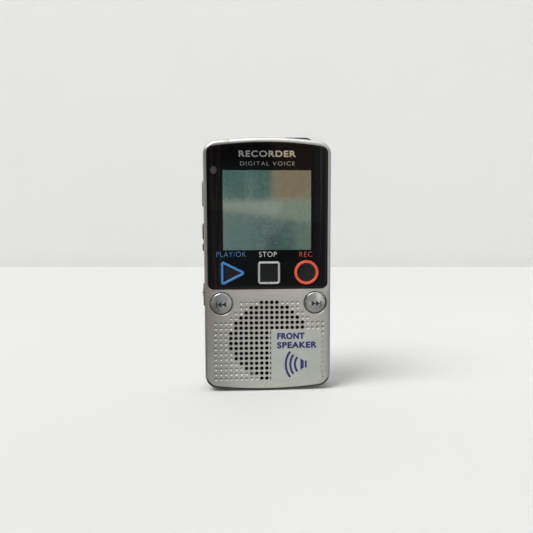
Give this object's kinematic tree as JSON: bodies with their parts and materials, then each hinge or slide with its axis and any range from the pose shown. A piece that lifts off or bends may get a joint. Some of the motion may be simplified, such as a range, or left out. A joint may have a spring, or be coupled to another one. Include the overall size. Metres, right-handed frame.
{
  "type": "handheld voice recorder",
  "caption": "Palm-size voice recorder: silver case, glossy black window with display and raised keys, punched speaker grille, side controls and a hinged battery door.",
  "frame": {"origin": "middle of the bottom end, half way through the thickness", "axes": "+Z along the long axis towards the top end, the front face looks towards -Y, +X to the viewer's right"},
  "size_m": [0.0564, 0.0192, 0.1111],
  "materials": {
    "silver_front": "satin",
    "silver_rear": "satin",
    "window_gloss": "gloss",
    "mask_print": "matte",
    "display": "gloss",
    "white_plastic": "matte",
    "elastomer": "matte",
    "light_pipe": "satin",
    "led": "gloss",
    "board": "satin",
    "chip": "matte",
    "key_blue": "satin",
    "key_silver": "satin",
    "key_orange": "satin",
    "key_black": "gloss",
    "silicone": "matte",
    "steel": "satin",
    "button_silver": "satin",
    "side_grey": "satin",
    "side_dark": "satin",
    "switch_metal": "satin",
    "navy_plastic": "satin",
    "boot_rubber": "matte",
    "capsule": "satin",
    "black_plastic": "satin",
    "cloth": "matte",
    "foam": "matte",
    "cone_paper": "matte",
    "wire_red": "satin",
    "wire_black": "satin",
    "cell_sleeve": "gloss",
    "contact_brass": "satin",
    "label_film": "satin"
  },
  "bodies": {
    "chassis": {"front_shell": "silver_front", "rear_shell": "silver_rear", "window_lens": "window_gloss", "window_mask": "mask_print", "lcd_panel": "display", "lcd_holder": "white_plastic", "lcd_connector": "elastomer", "indicator_pipe": "light_pipe", "indicator_led": "led", "main_board": "board", "processor_chip": "chip", "memory_chip": "chip", "keypad_membrane": "silicone", "play_dome": "steel", "stop_dome": "steel", "rec_dome": "steel", "rewind_switch": "switch_metal", "forward_switch": "switch_metal", "menu_switch": "switch_metal", "volume_switch_up": "switch_metal", "volume_switch_down": "switch_metal", "hold_switch": "switch_metal", "mic_grille": "navy_plastic", "microphone_boot": "boot_rubber", "microphone": "capsule", "ear_jack": "black_plastic", "mic_jack": "black_plastic", "grille_cloth": "cloth", "speaker_gasket": "foam", "speaker_frame": "steel", "speaker_cone": "cone_paper", "speaker_magnet": "steel", "speaker_wire_red": "wire_red", "speaker_wire_black": "wire_black", "battery_left": "cell_sleeve", "battery_right": "cell_sleeve", "contact_negative": "contact_brass", "contact_positive": "contact_brass", "contact_bridge": "contact_brass", "spring_left": "steel", "spring_right": "steel", "screw_lower_left": "steel", "screw_lower_right": "steel", "screw_upper_left": "steel", "screw_upper_right": "steel", "grille_label": "label_film"},
    "play_key_body": {"play_key": "key_blue", "play_key_inlay": "key_black"},
    "stop_key_body": {"stop_key": "key_silver", "stop_key_inlay": "key_black"},
    "rec_key_body": {"rec_key": "key_orange", "rec_key_inlay": "key_black"},
    "rewind_body": {"rewind_button": "button_silver"},
    "forward_body": {"forward_button": "button_silver"},
    "menu_body": {"menu_button": "side_grey"},
    "volume_body": {"volume_rocker": "side_dark"},
    "hold_body": {"hold_slider": "side_grey"},
    "door_body": {"battery_door": "silver_rear"}
  },
  "joints": [
    {"name": "play_press", "type": "slide", "parent": "chassis", "child": "play_key_body", "axis": [0, 1, 0], "range_m": [0, 0.00035]},
    {"name": "stop_press", "type": "slide", "parent": "chassis", "child": "stop_key_body", "axis": [0, 1, 0], "range_m": [0, 0.00035]},
    {"name": "rec_press", "type": "slide", "parent": "chassis", "child": "rec_key_body", "axis": [0, 1, 0], "range_m": [0, 0.00035]},
    {"name": "rewind_press", "type": "slide", "parent": "chassis", "child": "rewind_body", "axis": [0, 1, 0], "range_m": [0, 0.00035]},
    {"name": "forward_press", "type": "slide", "parent": "chassis", "child": "forward_body", "axis": [0, 1, 0], "range_m": [0, 0.00035]},
    {"name": "menu_press", "type": "slide", "parent": "chassis", "child": "menu_body", "axis": [1, 0, 0], "range_m": [0, 0.0003]},
    {"name": "volume_rock", "type": "hinge", "parent": "chassis", "child": "volume_body", "pos_m": [-0.02555, -0.0025, 0.06775], "axis": [0, 1, 0], "range_deg": [-3, 3]},
    {"name": "hold_slide", "type": "slide", "parent": "chassis", "child": "hold_body", "axis": [0, 0, 1], "range_m": [0, 0.0025]},
    {"name": "door_swing", "type": "hinge", "parent": "chassis", "child": "door_body", "pos_m": [0, 0.00765, 0.0458], "axis": [-1, 0, 0], "range_deg": [0, 95]}
  ]
}
